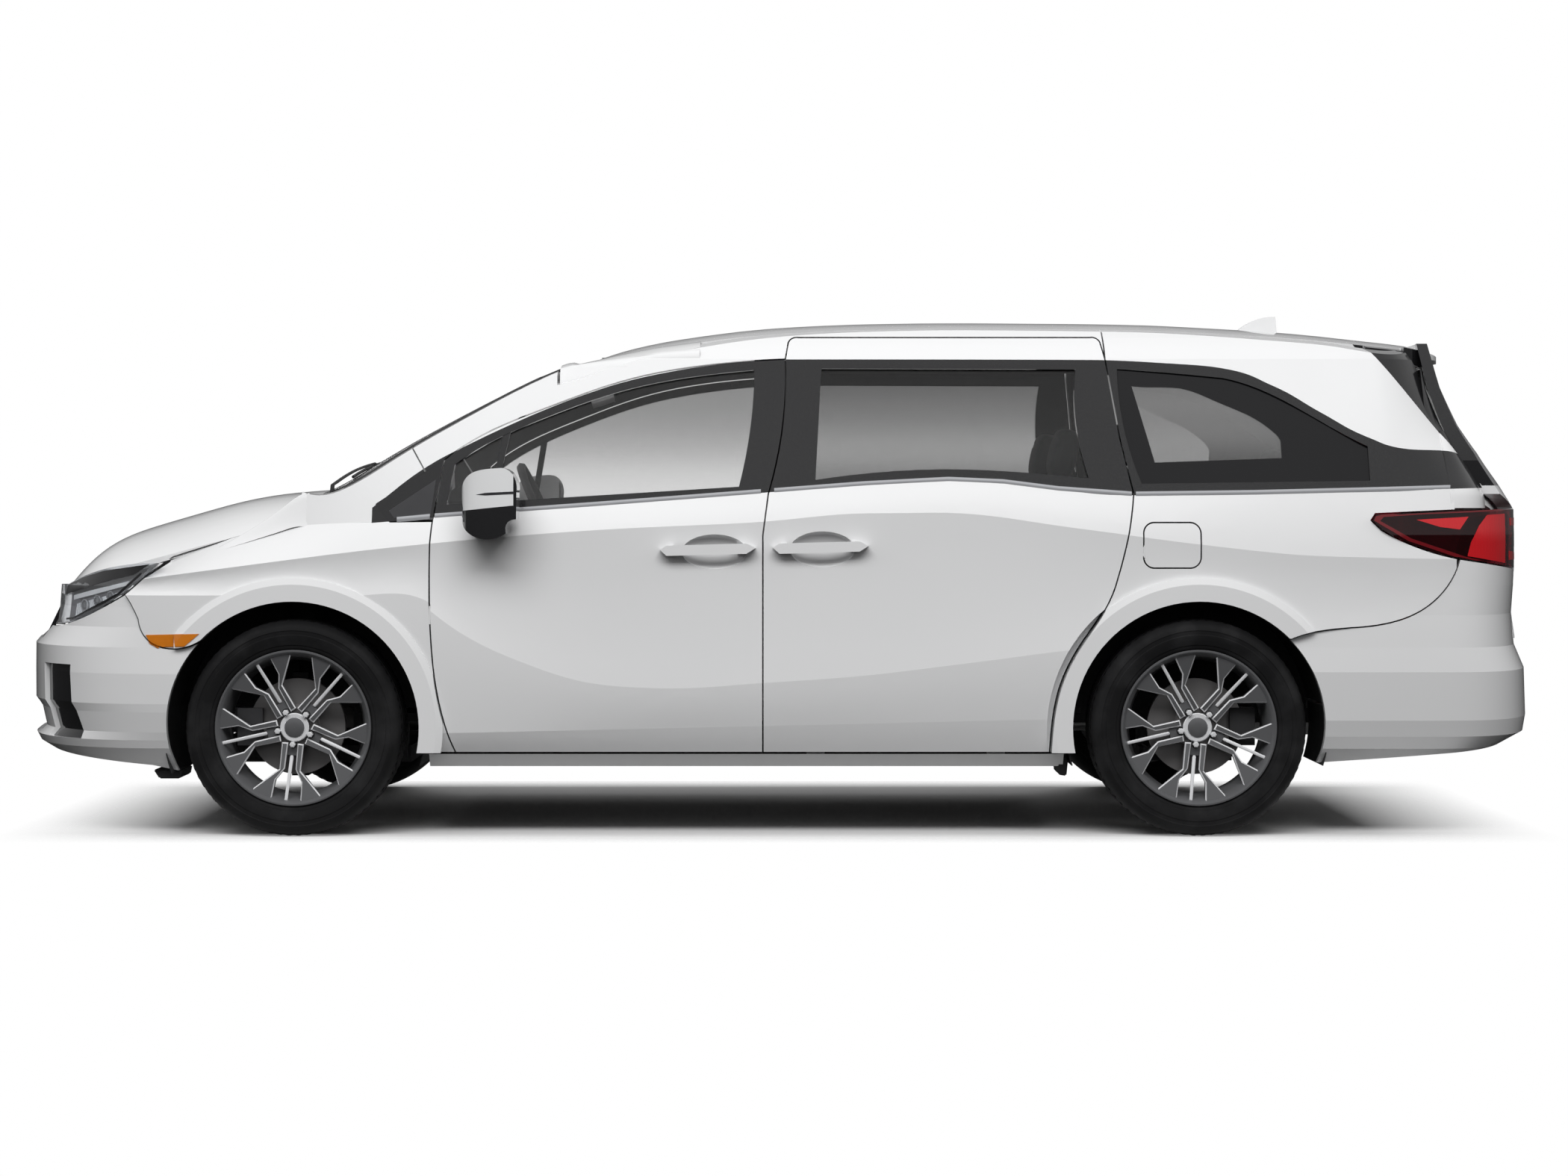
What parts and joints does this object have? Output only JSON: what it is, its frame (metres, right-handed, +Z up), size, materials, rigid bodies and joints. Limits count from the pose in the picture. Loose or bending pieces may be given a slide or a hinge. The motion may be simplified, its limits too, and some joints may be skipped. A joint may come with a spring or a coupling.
{
  "type": "minivan",
  "caption": "Full-size family minivan with front doors that swing, sliding rear doors, a lifting tailgate, a hollow cabin with seats, and steered wheels on a sprung-looking chassis",
  "frame": {"origin": "on the ground, midway along the length, on the centre plane", "axes": "+X rearwards, the nose points to -X; +Y to the right side; +Z up"},
  "size_m": [5.2191, 2.2478, 1.7808],
  "materials": {
    "paint": "clear-coated white paint",
    "black_trim": "gloss black trim",
    "black_plastic": "grained black plastic",
    "chassis": "black underbody coating",
    "cast_metal": "bare casting",
    "steel": "bare steel",
    "glass": "tinted glass",
    "lamp_clear": "clear lamp cover",
    "lamp_red": "red lamp cover",
    "cabin_plastic": "soft-touch dark plastic",
    "seat_fabric": "dark seat cloth",
    "wheel_alloy": "dark machined alloy",
    "tyre": "rubber"
  },
  "bodies": {
    "root": {"underbody": "chassis", "sills": "paint", "roof_rails": "paint", "quarter_panels": "paint", "roof_panel": "paint", "fenders": "paint", "front_bumper": "paint", "rear_bumper": "paint", "grille": "black_trim", "headlamps": "lamp_clear", "tail_lamps": "lamp_red", "windscreen": "glass", "sail_panels": "black_trim", "side_glass": "glass", "sliding_doors": "paint", "dashboard": "cabin_plastic", "front_seats": "seat_fabric", "middle_seats": "seat_fabric", "rear_bench": "seat_fabric", "engine_block": "cast_metal", "exhaust": "steel", "fuel_tank": "black_plastic", "front_suspension": "chassis", "rear_suspension": "chassis", "arch_liners": "black_plastic"},
    "hood": {"hood": "paint"},
    "front_door_left": {"front_door_left": "paint", "door_glass_left": "glass", "mirror_left": "paint"},
    "front_door_right": {"front_door_right": "paint", "door_glass_right": "glass", "mirror_right": "paint"},
    "tailgate": {"tailgate": "paint", "tailgate_glass": "glass", "tailgate_lamps": "lamp_red"},
    "fuel_lid": {"fuel_lid": "paint"},
    "steering_wheel": {"steering_wheel": "cabin_plastic"},
    "knuckle_left": {"knuckle_left": "cast_metal"},
    "knuckle_right": {"knuckle_right": "cast_metal"},
    "wheel_front_left": {"wheel_front_left": "wheel_alloy", "tyre_front_left": "tyre"},
    "wheel_front_right": {"wheel_front_right": "wheel_alloy", "tyre_front_right": "tyre"},
    "wheel_rear_left": {"wheel_rear_left": "wheel_alloy", "tyre_rear_left": "tyre"},
    "wheel_rear_right": {"wheel_rear_right": "wheel_alloy", "tyre_rear_right": "tyre"}
  },
  "joints": [
    {"name": "steer_left", "type": "hinge", "parent": "root", "child": "knuckle_left", "pos_m": [-1.601, -0.775, 0.36], "axis": [0, 0, 1], "range_deg": [-33, 33]},
    {"name": "steer_right", "type": "hinge", "parent": "root", "child": "knuckle_right", "pos_m": [-1.601, 0.775, 0.36], "axis": [0, 0, 1], "range_deg": [-33, 33]},
    {"name": "steering_column", "type": "hinge", "parent": "root", "child": "steering_wheel", "pos_m": [-0.82, -0.38, 1.07], "axis": [0.9135, 0, 0.4067], "range_deg": [-480, 480]},
    {"name": "spin_front_left", "type": "hinge", "parent": "knuckle_left", "child": "wheel_front_left", "pos_m": [-1.601, -0.855, 0.36], "axis": [0, 1, 0], "continuous": true},
    {"name": "spin_front_right", "type": "hinge", "parent": "knuckle_right", "child": "wheel_front_right", "pos_m": [-1.601, 0.855, 0.36], "axis": [0, 1, 0], "continuous": true},
    {"name": "spin_rear_left", "type": "hinge", "parent": "root", "child": "wheel_rear_left", "pos_m": [1.399, -0.855, 0.36], "axis": [0, 1, 0], "continuous": true},
    {"name": "spin_rear_right", "type": "hinge", "parent": "root", "child": "wheel_rear_right", "pos_m": [1.399, 0.855, 0.36], "axis": [0, 1, 0], "continuous": true},
    {"name": "front_door_hinge_left", "type": "hinge", "parent": "root", "child": "front_door_left", "pos_m": [-1.1465, -0.98, 0.735], "axis": [0, 0, -1], "range_deg": [0, 65]},
    {"name": "front_door_hinge_right", "type": "hinge", "parent": "root", "child": "front_door_right", "pos_m": [-1.1465, 0.98, 0.735], "axis": [0, 0, 1], "range_deg": [0, 65]},
    {"name": "hood_hinge", "type": "hinge", "parent": "root", "child": "hood", "pos_m": [-1.579, 0, 1.15], "axis": [0, 1, 0], "range_deg": [0, 50]},
    {"name": "tailgate_hinge", "type": "hinge", "parent": "root", "child": "tailgate", "pos_m": [2.02, 0, 1.69222], "axis": [0, -1, 0], "range_deg": [0, 85]},
    {"name": "fuel_lid_hinge", "type": "hinge", "parent": "root", "child": "fuel_lid", "pos_m": [1.217, -0.9704, 0.945], "axis": [0, 0, -1], "range_deg": [0, 80]}
  ],
  "couplings": [
    {"joint": "steer_right", "follows": "steer_left", "ratio": 1},
    {"joint": "steering_column", "follows": "steer_left", "ratio": 14.5}
  ]
}
